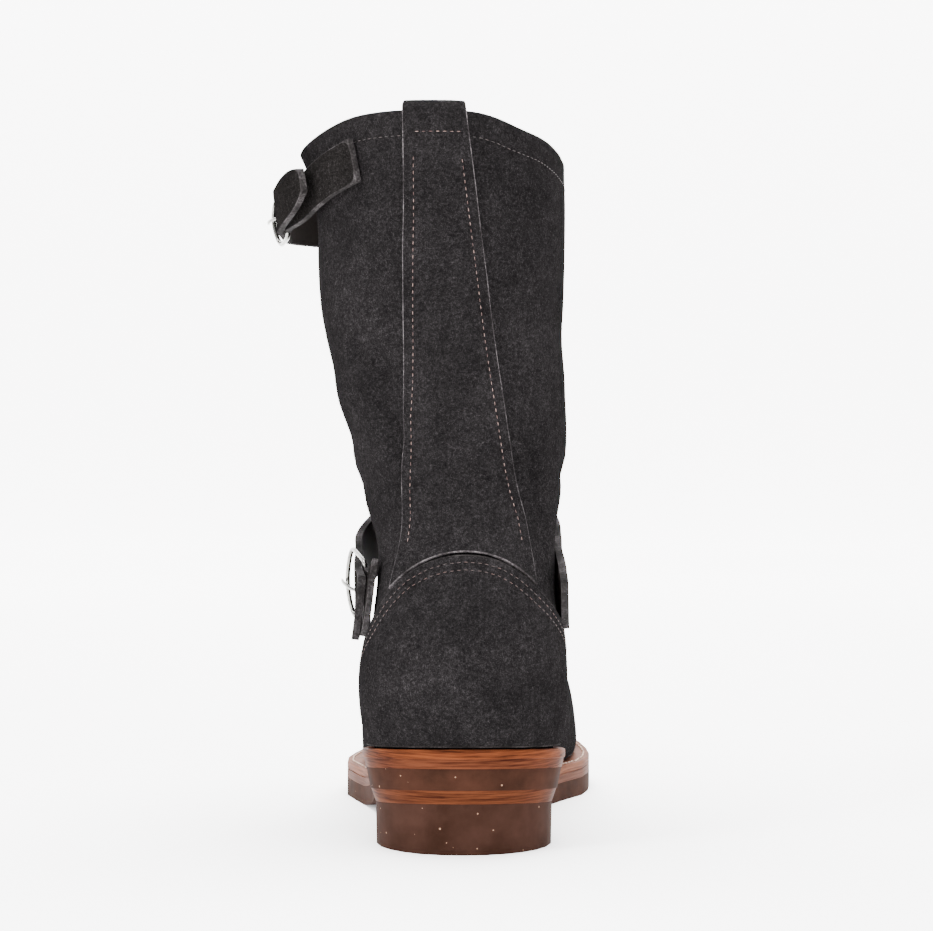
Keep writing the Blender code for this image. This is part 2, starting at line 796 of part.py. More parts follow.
def make_strap(name, path, width, thickness, group, tip=0):
    """A ribbon along a path; tip is the length over which its free end narrows."""
    rows = []
    ends = [0]
    for a, b in zip(path, path[1:]):
        ends.append(ends[-1] + (b[0] - a[0]).length)
    for k, (point, _, skew) in enumerate(path):
        tangent, across, normal = path_frame(path, k)
        left = ends[-1] - ends[k]
        half = width / 2 * (lerp(TIP_WIDTH, 1, math.sqrt(min(left / tip, 1))) if tip else 1)
        # The upper edge is drawn back along the strap by the skew
        high = point + across * half + tangent * (skew * width)
        low = point - across * half
        rows.append([low, high, high + normal * thickness, low + normal * thickness])
    return add_mesh(name, loft(rows, around=True, ends=True), "suede", group)


Seat = namedtuple("Seat", "point tangent across normal")


def buckle_seat(buckle_at, ahead, behind):
    """Where a buckle sits on its strap; the tangent runs towards the toe."""
    point, normal, _ = way_knot(buckle_at)
    tangent = (way_knot(ahead)[0] - way_knot(behind)[0]).normalized()
    across = normal.cross(tangent).normalized()
    if across.z < 0:
        across = -across
    normal = (normal - tangent * normal.dot(tangent)).normalized()
    return Seat(point, tangent, across, normal)


def wire(name, points, radius, cyclic, group):
    curve = bpy.data.curves.new(name, "CURVE")
    curve.dimensions = "3D"
    curve.bevel_depth = radius
    curve.bevel_resolution = 1
    curve.use_fill_caps = True
    spline = curve.splines.new("POLY")
    spline.points.add(len(points) - 1)
    for spot, point in zip(spline.points, points):
        spot.co = (*point, 1)
    spline.use_cyclic_u = cyclic
    spline.use_smooth = True
    curve.materials.append(material(name, "nickel"))
    obj = bpy.data.objects.new(name, curve)
    group.objects.link(obj)
    return obj


def make_buckle(prefix, seat, width, thickness, length, group):
    """A bowed wire frame: the hinge bar lies under the strap and the front bar over it."""
    point, tangent, across, normal = seat
    centre = point + normal * (thickness / 2)
    half_long = length / 2 - WIRE
    half_wide = width / 2 + GAP + WIRE
    clear = thickness / 2 + GAP + WIRE

    def spot(a, b):
        forward = (a / half_long + 1) / 2
        bow = BUCKLE_BOW * (1 - (b / half_wide) ** 2) * forward
        return centre + tangent * a + across * b + normal * (lerp(-clear, clear, forward) + bow)

    points = []
    for sign_a, sign_b, first in ((1, 1, 0), (-1, 1, 90), (-1, -1, 180), (1, -1, 270)):
        for step in range(4):
            angle = math.radians(first + step * 30)
            a = sign_a * (half_long - BUCKLE_CORNER) + BUCKLE_CORNER * math.cos(angle)
            b = sign_b * (half_wide - BUCKLE_CORNER) + BUCKLE_CORNER * math.sin(angle)
            points.append(spot(a, b))
        if sign_a == 1 and sign_b == -1:
            for share in (-0.5, 0, 0.5):
                points.append(spot(half_long, share * (half_wide - BUCKLE_CORNER)))
    wire(prefix + "_buckle", points, WIRE, True, group)

    # The prong comes up through the strap's hole and rests on the front bar
    root = -half_long + WIRE + GAP + PRONG
    over = clear + BUCKLE_BOW + WIRE + GAP + PRONG
    line = [(root, -clear), (root + PRONG_RISE, PRONG_BEND - clear), (root + PRONG_HOLE, 0),
            (root + PRONG_OUT, clear + GAP), (half_long - PRONG_OUT / 2, over - PRONG_BEND),
            (half_long + PRONG_TIP, over)]
    wire(prefix + "_prong", [centre + tangent * a + normal * c for a, c in line], PRONG, False, group)
    return centre + tangent * (root + PRONG_HOLE)


def punch(strap, hole, normal, thickness, radius, cutters):
    """Cuts the prong's hole through a strap."""
    bm = bmesh.new()
    bmesh.ops.create_cone(bm, cap_ends=True, segments=12, radius1=radius, radius2=radius,
                          depth=thickness * 4)
    turn = normal.to_track_quat("Z", "Y").to_matrix()
    bmesh.ops.rotate(bm, verts=bm.verts, cent=(0, 0, 0), matrix=turn)
    bmesh.ops.translate(bm, verts=bm.verts, vec=hole)
    mesh = bpy.data.meshes.new(strap.name + "_hole")
    bm.to_mesh(mesh)
    bm.free()
    cutter = bpy.data.objects.new(strap.name + "_hole", mesh)
    cutters.objects.link(cutter)
    cutter.hide_render = True
    cutter.display_type = "WIRE"
    cut = strap.modifiers.new("Hole", "BOOLEAN")
    cut.object = cutter
    cut.operation = "DIFFERENCE"
    cut.solver = "EXACT"


def make_strap_set(prefix, route, buckle_at, tail, base_route, sizes, tip, group, cutters):
    """A strap through its buckle, the short strap that holds the buckle, and the prong."""
    width, thickness, length = sizes
    seat = buckle_seat(buckle_at, route[-1], tail[0])
    reach = length / 2 + BUCKLE_ZONE
    straight = [(seat.point + seat.tangent * (reach * share), seat.normal, 0)
                for share in (1, 0.8, 0.4, 0, -0.4, -0.8, -1)]
    path = smooth_path([way_knot(way) for way in route] + straight[:1])
    path += straight[1:-1]
    path += smooth_path(straight[-1:] + [way_knot(way) for way in tail])
    strap = make_strap(prefix + "_strap", path, width, thickness, group, tip)
    hole = make_buckle(prefix, seat, width, thickness, length, group)
    punch(strap, hole, seat.normal, thickness, PRONG + HOLE_MARGIN, cutters)
    back = -(length / 2) - GAP
    drop = -BASE_DROP - WIRE - BASE_LEATHER / 2
    lead, end = [(seat.point + seat.tangent * (back - left) + seat.normal * drop, seat.normal, 0)
                 for left in (BASE_LEAD, 0)]
    base = smooth_path([way_knot(way) for way in base_route] + [lead]) + [end]
    make_strap(prefix + "_base", base, width, BASE_LEATHER, group)


def main():
    for obj in list(bpy.data.objects):
        bpy.data.objects.remove(obj, do_unlink=True)
    group = collection("engineer_boot")
    cutters = collection("cutters")
    make_sole(group)
    make_welt(group)
    make_upper(group)
    make_counter(group)
    make_vamp(group)
    make_backstay(group)
    make_strap_set("instep", INSTEP_ROUTE, INSTEP_BUCKLE_AT, INSTEP_TAIL, INSTEP_BASE_ROUTE,
                   (INSTEP_WIDTH, INSTEP_LEATHER, INSTEP_BUCKLE_LENGTH), 0, group, cutters)
    make_strap_set("collar", COLLAR_ROUTE, COLLAR_BUCKLE_AT, COLLAR_TAIL, COLLAR_BASE_ROUTE,
                   (COLLAR_WIDTH, COLLAR_LEATHER, COLLAR_BUCKLE_LENGTH), COLLAR_TIP, group, cutters)


main()
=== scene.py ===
# %% [markdown]
# # A black roughout engineer boot, left foot
# This lesson dresses a finished CAD model of a pull-on engineer boot. The model gives every
# piece its place and size. Here each piece gets the surface of the real one: raw suede with
# a nap, cut edges, seams, burnished sole edges and nickel buckles. No piece changes its
# place, so the lesson is about copying, refining and colouring. Sizes are in metres, +Y
# points to the toe, +X to the inner side of the foot, and the floor is at z = 0.

import math
import random
from collections import namedtuple

import bmesh
import bpy
from mathutils import Matrix, Vector, noise
from mathutils.bvhtree import BVHTree


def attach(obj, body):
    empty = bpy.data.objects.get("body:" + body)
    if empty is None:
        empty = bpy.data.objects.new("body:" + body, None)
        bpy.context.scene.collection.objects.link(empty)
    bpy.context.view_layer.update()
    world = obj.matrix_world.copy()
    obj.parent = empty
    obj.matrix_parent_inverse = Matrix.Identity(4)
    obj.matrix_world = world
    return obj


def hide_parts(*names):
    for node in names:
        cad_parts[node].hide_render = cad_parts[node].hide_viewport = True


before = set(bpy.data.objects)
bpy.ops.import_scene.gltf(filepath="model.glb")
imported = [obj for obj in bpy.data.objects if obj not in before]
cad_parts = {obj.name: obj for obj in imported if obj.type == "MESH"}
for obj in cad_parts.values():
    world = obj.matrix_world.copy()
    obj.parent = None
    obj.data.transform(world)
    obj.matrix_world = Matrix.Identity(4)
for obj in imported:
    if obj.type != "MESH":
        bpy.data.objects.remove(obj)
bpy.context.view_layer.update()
MM = 0.001
print("pieces in the model:", ", ".join(sorted(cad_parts)))

# %% [markdown]
# Colours are written as the hex values that an eye dropper gives. Blender's shaders work
# with linear light, so one function turns a hex value into that. A second one adds a node,
# sets its sockets and links them, which keeps each material a short list of its layers.

# %% Colour and node helpers


def hex_colour(code):
    """A linear RGBA colour from an sRGB hex code."""
    channels = [int(code[k:k + 2], 16) / 255 for k in (0, 2, 4)]
    return [c / 12.92 if c <= 0.04045 else ((c + 0.055) / 1.055) ** 2.4 for c in channels] + [1]


def add_node(tree, kind, settings=None, **sockets):
    """Adds a node. Settings are its properties, or a colour ramp's stops of (place, hex).
    Sockets are values or links, by the socket's name or by its number, as in i6."""
    node = tree.nodes.new("ShaderNode" + kind)
    for key, value in (settings or {}).items():
        if key == "stops":
            points = node.color_ramp.elements
            while len(points) < len(value):
                points.new(0.5)
            for point, (position, code) in zip(points, value):
                point.position = position
                point.color = hex_colour(code)
        else:
            setattr(node, key, value)
    for key, value in sockets.items():
        numbered = key[0] == "i" and key[1:].isdigit()
        socket = node.inputs[int(key[1:]) if numbered else key.replace("_", " ")]
        if isinstance(value, bpy.types.NodeSocket):
            tree.links.new(value, socket)
        else:
            socket.default_value = value
    return node


def new_material(name, roughness, metallic=0.0):
    """A material with its shader, its node tree and the object's own coordinates."""
    made = bpy.data.materials.new(name)
    made.use_nodes = True
    tree = made.node_tree
    shader = tree.nodes["Principled BSDF"]
    shader.inputs["Roughness"].default_value = roughness
    shader.inputs["Metallic"].default_value = metallic
    place = add_node(tree, "TexCoord").outputs["Object"]
    return made, tree, shader, place


def weighted_sum(tree, *parts):
    """The sum of (value, weight) pairs, as one value."""
    total = 0.0
    for value, weight in parts:
        total = add_node(tree, "Math", {"operation": "MULTIPLY_ADD"}, i0=value, i1=weight,
                         i2=total).outputs[0]
    return total


print("mid grey 808080 is", round(hex_colour("808080")[0], 3), "in linear light")

# %% [markdown]
# ## Suede
# Roughout leather is a whole hide worn with its flesh side outwards. The fibres there are
# cut and raised, so the surface scatters light in every direction: it is nearly black,
# without any gloss, with a soft lighter bloom where the nap stands towards the light. The
# fibres form small clumps about 1 mm across and the hide has clouds some centimetres wide.
# Both are noise textures here. Single fibres are too fine to show, so the grain between the
# clumps is drawn coarser than it is, at 0.42 mm. Loose fibres that stand off the surface
# come later, as real geometry. The straps are cut from a slightly browner, darker hide.

# %% Roughout suede


def suede_material(name, dark, base, light, sheen_bloom):
    made, tree, shader, place = new_material(name, 0.96)
    cloud = add_node(tree, "TexNoise", Vector=place, Scale=1 / (34 * MM), Detail=3.0, Roughness=0.55)
    tuft = add_node(tree, "TexNoise", Vector=place, Scale=1 / (4.5 * MM), Detail=2.0, Roughness=0.5)
    clump = add_node(tree, "TexNoise", Vector=place, Scale=1 / (1.2 * MM), Detail=3.0, Roughness=0.6)
    grain = add_node(tree, "TexNoise", Vector=place, Scale=1 / (0.42 * MM), Detail=2.0, Roughness=0.7)
    mixed = weighted_sum(tree, (clump.outputs[0], 0.34), (grain.outputs[0], 0.54),
                         (tuft.outputs[0], 0.12))
    # The lightest stop is partly the paler fibre tips and partly painted sheen. The shader has no sheen or
    # gloss, so the nap's lighter bloom towards the light is painted on random clumps.
    nap = add_node(tree, "ValToRGB", {"stops": ((0.36, dark), (0.49, base), (0.58, light), (0.68, sheen_bloom))},
                   Fac=mixed)
    shade = add_node(tree, "ValToRGB", {"stops": ((0.3, "cecece"), (0.7, "ffffff"))},
                     Fac=cloud.outputs[0])
    colour = add_node(tree, "Mix", {"data_type": "RGBA", "blend_type": "MULTIPLY"},
                      Factor=1.0, i6=nap.outputs[0], i7=shade.outputs[0])
    relief = weighted_sum(tree, (clump.outputs[0], 1.0), (grain.outputs[0], 0.7))
    bump = add_node(tree, "Bump", Strength=0.9, Distance=0.8 * MM, Height=relief)
    tree.links.new(colour.outputs[2], shader.inputs["Base Color"])
    tree.links.new(bump.outputs[0], shader.inputs["Normal"])
    shader.inputs["Specular IOR Level"].default_value = 0.0
    return made


suede = suede_material("roughout_suede", "0c0b0c", "181717", "252324", "3b3939")
strap_suede = suede_material("strap_suede", "0a0909", "151413", "201e1e", "343131")
print("suede: clumps 1.2 mm, grain 0.42 mm")

# %% [markdown]
# ## Cut edges, and the inside
# Where the hide is cut, its middle layer shows as a thin line, because the dye does not go
# all the way through. It is palest on the backstay, grey on the straps and the collar, and
# darkest on the counter and the vamp, whose edges are pared thin. The inside of the boot is
# the smooth grain side of the same hide, worn matt, with fine pores.

# %% Cut edge and grain side


def cut_edge_material(name, dark, middle, light):
    made, tree, shader, place = new_material(name, 0.9)
    fibre = add_node(tree, "TexNoise", Vector=place, Scale=1 / (0.9 * MM), Detail=3.0, Roughness=0.7)
    wear = add_node(tree, "TexNoise", Vector=place, Scale=1 / (9 * MM), Detail=2.0)
    mixed = weighted_sum(tree, (fibre.outputs[0], 0.5), (wear.outputs[0], 0.5))
    colour = add_node(tree, "ValToRGB", {"stops": ((0.38, dark), (0.5, middle), (0.64, light))}, Fac=mixed)
    bump = add_node(tree, "Bump", Strength=0.5, Distance=0.3 * MM, Height=fibre.outputs[0])
    tree.links.new(colour.outputs[0], shader.inputs["Base Color"])
    tree.links.new(bump.outputs[0], shader.inputs["Normal"])
    shader.inputs["Specular IOR Level"].default_value = 0.02
    return made


def grain_side_material():
    made, tree, shader, place = new_material("smooth_grain_side", 0.62)
    pores = add_node(tree, "TexVoronoi", Vector=place, Scale=1 / (1.3 * MM))
    stain = add_node(tree, "TexNoise", Vector=place, Scale=1 / (30 * MM), Detail=4.0)
    colour = add_node(tree, "ValToRGB", {"stops": ((0.3, "1c1817"), (0.7, "2c2623"))},
                      Fac=stain.outputs[0])
    bump = add_node(tree, "Bump", Strength=0.25, Distance=0.15 * MM, Height=pores.outputs[0])
    tree.links.new(colour.outputs[0], shader.inputs["Base Color"])
    tree.links.new(bump.outputs[0], shader.inputs["Normal"])
    shader.inputs["Specular IOR Level"].default_value = 0.06
    return made


cut_edge = cut_edge_material("cut_leather_edge", "131212", "232121", "413e3f")
dull_edge = cut_edge_material("worn_leather_edge", "121111", "1e1c1c", "343131")
pale_edge = cut_edge_material("pale_leather_edge", "1e1c1c", "363334", "625e5f")
grain_side = grain_side_material()
print("three cut edges and the grain side made")

# %% [markdown]
# ## Copying a CAD piece
# A CAD piece comes as loose triangles. Its copy is merged, and pairs of triangles become
# four-sided faces again, which subdivide evenly. Each piece is cut from flat hide, so it has
# three kinds of face: the side that shows, the side that does not, and the cut edge between
# them. They meet at sharp corners, so a flood over the mesh that stops at those corners
# finds them, and the two largest floods are the two sides.

# %% Copy, sort and round a piece
MERGE_WITHIN = 0.02 * MM
PAIR_BEND = math.radians(40)
PAIR_SKEW = math.radians(70)
CORNER = math.radians(48)
SMOOTHING = 2


def merged_copy(node):
    """A bmesh of a CAD piece, with its points merged and its triangles paired."""
    bm = bmesh.new()
    bm.from_mesh(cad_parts[node].data)
    bmesh.ops.remove_doubles(bm, verts=bm.verts, dist=MERGE_WITHIN)
    bmesh.ops.join_triangles(bm, faces=bm.faces, angle_face_threshold=PAIR_BEND,
                             angle_shape_threshold=PAIR_SKEW)
    return bm


def is_corner(edge):
    return len(edge.link_faces) == 2 and edge.calc_face_angle() > CORNER


def floods(bm):
    """Groups of faces that meet without a corner, the largest first."""
    left = set(bm.faces)
    groups = []
    for first in bm.faces:
        if first in left:
            left.discard(first)
            group, queue = [first], [first]
            while queue:
                for edge in queue.pop().edges:
                    if not is_corner(edge):
                        for face in edge.link_faces:
                            if face in left:
                                left.discard(face)
                                group.append(face)
                                queue.append(face)
            groups.append(group)
    return sorted(groups, key=lambda group: -sum(face.calc_area() for face in group))


def round_corners(bm, rounding, segments):
    """Bevels every corner by a width in mm, and returns the new faces."""
    corners = [edge for edge in bm.edges if is_corner(edge)]
    return bmesh.ops.bevel(bm, geom=corners, offset=rounding * MM, offset_type="OFFSET",
                           segments=segments, profile=0.5, affect="EDGES", clamp_overlap=True,
                           material=-1)["faces"]


print("a corner is anything sharper than", round(math.degrees(CORNER)), "degrees")

# %% [markdown]
# A bmesh only becomes something to render as a mesh on an object. Modifiers would stay live
# on it, but the folds below have to move the fine mesh, so they are applied at once.

# %% From bmesh to object


def mesh_from(name, bm):
    mesh = bpy.data.meshes.new(name)
    bm.to_mesh(mesh)
    bm.free()
    mesh.shade_smooth()
    return mesh


def object_from(name, mesh, *finishes):
    obj = bpy.data.objects.new(name, mesh)
    bpy.context.scene.collection.objects.link(obj)
    for finish in finishes:
        mesh.materials.append(finish)
    return obj


def make_piece(name, bm, *finishes):
    obj = object_from(name, mesh_from(name, bm), *finishes)
    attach(obj, "root")
    return obj


def subdivide(obj):
    """Smooths an object's mesh and applies that."""
    smooth = obj.modifiers.new("Smooth", "SUBSURF")
    smooth.levels = smooth.render_levels = SMOOTHING
    graph = bpy.context.evaluated_depsgraph_get()
    mesh = bpy.data.meshes.new_from_object(obj.evaluated_get(graph))
    obj.modifiers.clear()
    obj.data = mesh


print("pieces are smoothed", SMOOTHING, "times")

# %% [markdown]
# ## The fall of the leather
# A new boot that stands empty still has soft folds: the shaft sags a little above the ankle
# and bulges below the collar. A cloth simulation would wrinkle it at random, so each fold is
# listed instead, as a line of points on the shaft with a width and a depth. Every
# leather piece is moved by the same field, so pieces that lie on each other stay so.

# %% Folds listed one by one
upper_tree = BVHTree.FromBMesh(merged_copy("upper"))
# The way each side view looks, and the axis that runs across it
VIEWS = {"back": ((0, 1, 0), 0), "front": ((0, -1, 0), 0), "outer": ((1, 0, 0), 1),
         "inner": ((-1, 0, 0), 1)}
Fold = namedtuple("Fold", "view points width depth")
# Points are in mm as seen from that side: across and up; + depth stands out
FOLDS = [
    Fold("back", [(-44, 190), (-37, 168), (-26, 144)], 4.5, 2.2),
    Fold("back", [(-33, 188), (-29, 172), (-24, 156)], 4.5, -3.0),
    Fold("back", [(27, 148), (30, 132), (31, 118)], 4.5, -2.8),
    Fold("back", [(21, 154), (24, 140), (27, 128)], 3.5, 1.5),
    Fold("back", [(-38, 240), (-20, 226), (-14, 205)], 12.0, 1.0),
    Fold("outer", [(0, 150), (22, 139), (48, 137)], 6.0, -1.8),
    Fold("outer", [(2, 163), (24, 154), (52, 154)], 8.0, -1.6),
    Fold("outer", [(8, 178), (30, 170), (56, 166)], 7.0, 0.8),
    Fold("outer", [(40, 178), (62, 165), (78, 160)], 8.0, -1.2),
    Fold("inner", [(4, 152), (26, 141), (50, 138)], 6.0, -1.6),
    Fold("inner", [(6, 166), (28, 156), (54, 154)], 7.0, 0.2),
    Fold("inner", [(30, 196), (50, 180), (66, 168)], 9.0, -1.0),
    Fold("front", [(-24, 146), (0, 141), (22, 147)], 5.0, -1.7),
    Fold("front", [(-26, 156), (0, 152), (24, 158)], 5.0, 1.2),
]


def seen_from(view, across, up, tree=upper_tree):
    """The point and outward direction that a side view shows at a place, in mm."""
    way, axis = VIEWS[view]
    start = -Vector(way)
    start[axis] = across * MM
    start.z = up * MM
    spot, normal, _, _ = tree.ray_cast(start, Vector(way))
    return spot, normal


def fold_line(fold):
    spots = [seen_from(fold.view, across, up)[0] for across, up in fold.points]
    return [spot for spot in spots if spot]


FOLD_LINES = [(fold_line(fold), fold.width * MM, fold.depth * MM) for fold in FOLDS]
print("folds:", len(FOLD_LINES), "with points found:", sum(len(line) for line, _, _ in FOLD_LINES))

# %% [markdown]
# The depth fades away from a fold's line like a bell curve. Hide is also never quite even,
# so two smooth waves are added. They are calmer at the foot, where the leather is stretched
# over the last. The shaft is moved away from its own middle, and the foot away from a core
# that runs forwards inside it.

# %% Move the leather
FOLD_REACH = 2.4
UNEVEN = ((26, 0.5), (9, 0.16))  # length and height of each wave, in mm
LASTED_HEIGHT = 0.05
LASTED_CALM = 0.25
SHAFT_MIDDLE_X = -0.006
SHAFT_MIDDLE_Y = 0.032
HEEL_MIDDLE_Y = (0.02, 0.045)
SHAFT_START = 0.13
FORWARD_SHARE = 0.6
FOREFOOT_START = 0.075
FOREFOOT_CORE = 0.03


def distance_to_line(point, line):
    best = 1.0
    for start, end in zip(line, line[1:]):
        run = end - start
        t = min(max((point - start).dot(run) / run.length_squared, 0), 1)
        best = min(best, (start + run * t - point).length)
    return best


def outwards(point):
    """Away from the middle of the shaft, or of the foot in front of it."""
    if point.y > FOREFOOT_START:
        return Vector((point.x, 0, max(point.z - FOREFOOT_CORE, 0))).normalized()
    low, high = HEEL_MIDDLE_Y
    middle = min(max(point.y, low), high) if point.z < SHAFT_START else SHAFT_MIDDLE_Y
    return Vector((point.x - SHAFT_MIDDLE_X, (point.y - middle) * FORWARD_SHARE, 0)).normalized()


def fold_leather(obj):
    """Moves an object's points by every fold, and by the slight unevenness of hide."""
    for vertex in obj.data.vertices:
        point = vertex.co.copy()
        reach = 0
        for line, width, depth in FOLD_LINES:
            away = distance_to_line(point, line)
            if away < width * FOLD_REACH:
                reach += depth * math.exp(-(away / width) ** 2)
        uneven = sum(noise.noise(point / (length * MM)) * height for length, height in UNEVEN)
        calm = min(max((point.z - LASTED_HEIGHT) / LASTED_HEIGHT, LASTED_CALM), 1)
        vertex.co = point + outwards(point) * (reach + uneven * calm * MM)


print("hide waves:", ", ".join(f"{height} mm high, {length} mm long" for length, height in UNEVEN))

# %% [markdown]
# ## The upper, its overlays and the pull strap
# The upper is the whole shell, so its inner side gets the grain finish. The counter, the
# vamp and the backstay lie on it. Their corners are rounded by a small bevel before the
# mesh is smoothed, because a clicking knife leaves an edge that soon wears round. Smoothing
# pulls wide faces in at a corner. Where a piece has few faces, a narrow strip is first laid
# inside its edge, and holds the corner where it is. The edge's line is kept for the seams.

# %% Shell and overlays
LINES = {}


def edge_lines(group):
    """The lines around a side of a piece: lists of (point, face normal), in walking order."""
    inside = set(group)
    after = {}
    for face in group:
        for loop in face.loops:
            if any(other not in inside for other in loop.edge.link_faces):
                after[loop.vert] = (loop.link_loop_next.vert, face.normal.copy())
    lines = []
    while after:
        vertex = next(iter(after))
        line = []
        while vertex in after:
            following, normal = after.pop(vertex)
            line.append((vertex.co.copy(), normal))
            vertex = following
        lines.append(line)
    return sorted(lines, key=len)


def leather_piece(name, node, outer_finish, inner_finish, rounding=0.25, hold=0, edge_finish=cut_edge):
    """A copy of a CAD piece as folded leather; its rounding and holding strip are in mm."""
    bm = merged_copy(node)
    groups = floods(bm)
    for index, group in enumerate(groups):
        for face in group:
            face.material_index = min(index, 2)
    LINES[name] = edge_lines(groups[0])
    if hold:
        for group in groups[:2]:
            bmesh.ops.inset_region(bm, faces=group, thickness=hold * MM, use_even_offset=True,
                                   use_boundary=True)
    for face in round_corners(bm, rounding, segments=2):
        face.material_index = 2
    obj = make_piece(name, bm, outer_finish, inner_finish, edge_finish)
    subdivide(obj)
    fold_leather(obj)
    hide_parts(node)
    print(name, "has", len(groups), "sides and", len(obj.data.polygons), "faces")
    return obj


upper = leather_piece("shell", "upper", suede, grain_side, hold=1.0)
counter = leather_piece("heel_counter", "counter", suede, suede, edge_finish=dull_edge)
vamp = leather_piece("toe_vamp", "vamp", suede, suede, edge_finish=dull_edge)
backstay = leather_piece("pull_and_backstay", "backstay", suede, grain_side, rounding=0.4,
                         edge_finish=pale_edge)

# %% [markdown]
# ## Straps
# Each buckle has a strap that goes through it and a short one that holds it. They are cut
# from hide as well, so the same function makes them. On a real boot their ends are caught
# in a seam, and here they end on the leather just beside it.

# %% Straps
STRAPS = (("ankle_strap", "instep_strap"), ("ankle_strap_base", "instep_base"),
          ("top_strap", "collar_strap"), ("top_strap_base", "collar_base"))
straps = [leather_piece(name, node, strap_suede, grain_side, hold=0.9) for name, node in STRAPS]

# %% [markdown]
# ## Stitches
# A lockstitch shows as a row of short beads that dive into the leather at both ends. A
# texture would lie flat, and a bead catches the light, so each one is a stretched sphere,
# sunk by half. A row follows the cut edge of its own piece at a set distance, which is how a
# machinist guides it, and each bead is snapped to the leather. The thread is twisted and
# waxed, so it has a slight gloss and its colour changes along it.

# %% Thread and the sewing helpers
BEAD_LIFT = 0.08


def thread_material(name, dark, light):
    made, tree, shader, place = new_material(name, 0.6)
    twist = add_node(tree, "TexNoise", Vector=place, Scale=1 / (2.5 * MM), Detail=2.0)
    colour = add_node(tree, "ValToRGB", {"stops": ((0.35, dark), (0.65, light))}, Fac=twist.outputs[0])
    tree.links.new(colour.outputs[0], shader.inputs["Base Color"])
    return made


def tree_of(obj):
    """A search tree over an object's finished faces."""
    return BVHTree.FromPolygons([vertex.co.copy() for vertex in obj.data.vertices],
                                [list(face.vertices) for face in obj.data.polygons])


def row_beside(line, distance, tree):
    """A row at a distance in mm inside an edge line, snapped to the leather."""
    row = []
    for k, (point, normal) in enumerate(line):
        before = line[k - 1][0]
        after = line[(k + 1) % len(line)][0]
        inwards = normal.cross(after - before).normalized()
        spot, facing, _, _ = tree.find_nearest(point + inwards * (distance * MM))
        row.append((spot, facing))
    return row


def parts_of(row, keep):
    """Splits a closed row into the runs whose points pass a test."""
    first = next((k for k, (spot, _) in enumerate(row) if not keep(spot)), 0)
    runs, run = [], []
    for item in row[first:] + row[:first]:
        if keep(item[0]):
            run.append(item)
        elif run:
            runs.append(run)
            run = []
    if run:
        runs.append(run)
    return [run for run in runs if len(run) > 1]


def rows_beside(line, distances, tree, keep):
    return [run for distance in distances for run in parts_of(row_beside(line, distance, tree), keep)]


def sew(name, rows, tree, finish, pitch=2.6, length=1.7, thickness=0.3):
    """Sews rows of beads; pitch, length and thickness are in mm."""
    bm = bmesh.new()
    beads = 0
    for row in rows:
        run = 0.5 * pitch * MM
        for (start, _), (end, _) in zip(row, row[1:]):
            span = (end - start).length
            while run < span:
                spot, normal, _, _ = tree.find_nearest(start.lerp(end, run / span))
                along = (end - start).normalized()
                side = normal.cross(along).normalized()
                along = side.cross(normal).normalized()
                turn = Matrix((along, side, normal)).transposed().to_4x4()
                size = Matrix.Diagonal((length / 2 * MM, thickness / 2 * MM, thickness / 2 * MM, 1))
                place = Matrix.Translation(spot + normal * BEAD_LIFT * MM)
                bmesh.ops.create_uvsphere(bm, u_segments=6, v_segments=5, radius=1,
                                          matrix=place @ turn @ size)
                beads += 1
                run += pitch * MM
            run -= span
    obj = make_piece(name, bm, finish)
    print(name, "has", beads, "stitches")


tan_thread = thread_material("waxed_tan_thread", "341612", "7c665f")
brown_thread = thread_material("waxed_brown_thread", "180c0a", "3a221c")
black_thread = thread_material("waxed_black_thread", "120d0c", "2a1d1b")
welt_thread = thread_material("waxed_natural_thread", "6a4c3c", "a08674")

# %% [markdown]
# The counter has two rows under its arch. The backstay has one row down each side and one
# across the pull. The vamp has two rows along its throat and the collar one row all round.
# A closed row also runs where no stitch is, along a piece's foot or under the collar, so a
# test keeps the parts that are sewn.

# %% Counter and vamp seams
COUNTER_ROW_START = 0.034
COUNTER_STEP = 0.02
COUNTER_LOW_BACK = 0.062
COUNTER_LOW_FRONT = 0.058
VAMP_LOW = 0.056


def on_counter(spot):
    """Above the counter's foot, and behind its front edge."""
    low = COUNTER_LOW_BACK if spot.y < COUNTER_STEP else COUNTER_LOW_FRONT
    return spot.z > low and spot.y < COUNTER_ROW_START


counter_tree = tree_of(counter)
rows = rows_beside(LINES["heel_counter"][-1], (3.0, 6.0), counter_tree, on_counter)
sew("counter_seam", rows, counter_tree, brown_thread)

# %% Backstay seam
PULL_ROW = 0.2695
PULL_SPANS = 6
STAY_LOW = 0.1155
TUCK_LOW = 0.235
TUCK_BACK = -0.0335


def on_backstay(spot):
    """Below the row across the pull, and not on the end that is tucked inside the collar."""
    return STAY_LOW < spot.z < PULL_ROW and (spot.z < TUCK_LOW or spot.y < TUCK_BACK)


stay_tree = tree_of(backstay)
rows = rows_beside(LINES["pull_and_backstay"][-1], (4.2,), stay_tree, on_backstay)
rows = sorted(rows, key=len)[-2:]
left, right = sorted(max((row[0], row[-1]), key=lambda end: end[0].z)[0].x for row in rows)
print("the rows on the pull are", round((right - left) / MM, 1), "mm apart")
rows.append([seen_from("back", (left + (right - left) * (k / PULL_SPANS)) / MM, PULL_ROW / MM, stay_tree)
             for k in range(PULL_SPANS + 1)])
sew("backstay_seam", rows, stay_tree, tan_thread, length=1.5, thickness=0.27)

# %% Vamp and collar seams
vamp_tree = tree_of(vamp)
rows = rows_beside(LINES["toe_vamp"][-1], (2.8, 5.8), vamp_tree, lambda spot: spot.z > VAMP_LOW)
sew("vamp_seam", rows, vamp_tree, brown_thread)

upper_tree = tree_of(upper)
collar = max(LINES["shell"], key=lambda line: line[0][0].z)
collar_row = row_beside(collar, 9.5, upper_tree)
sew("collar_seam", [collar_row + collar_row[:1]], upper_tree, black_thread, thickness=0.28)

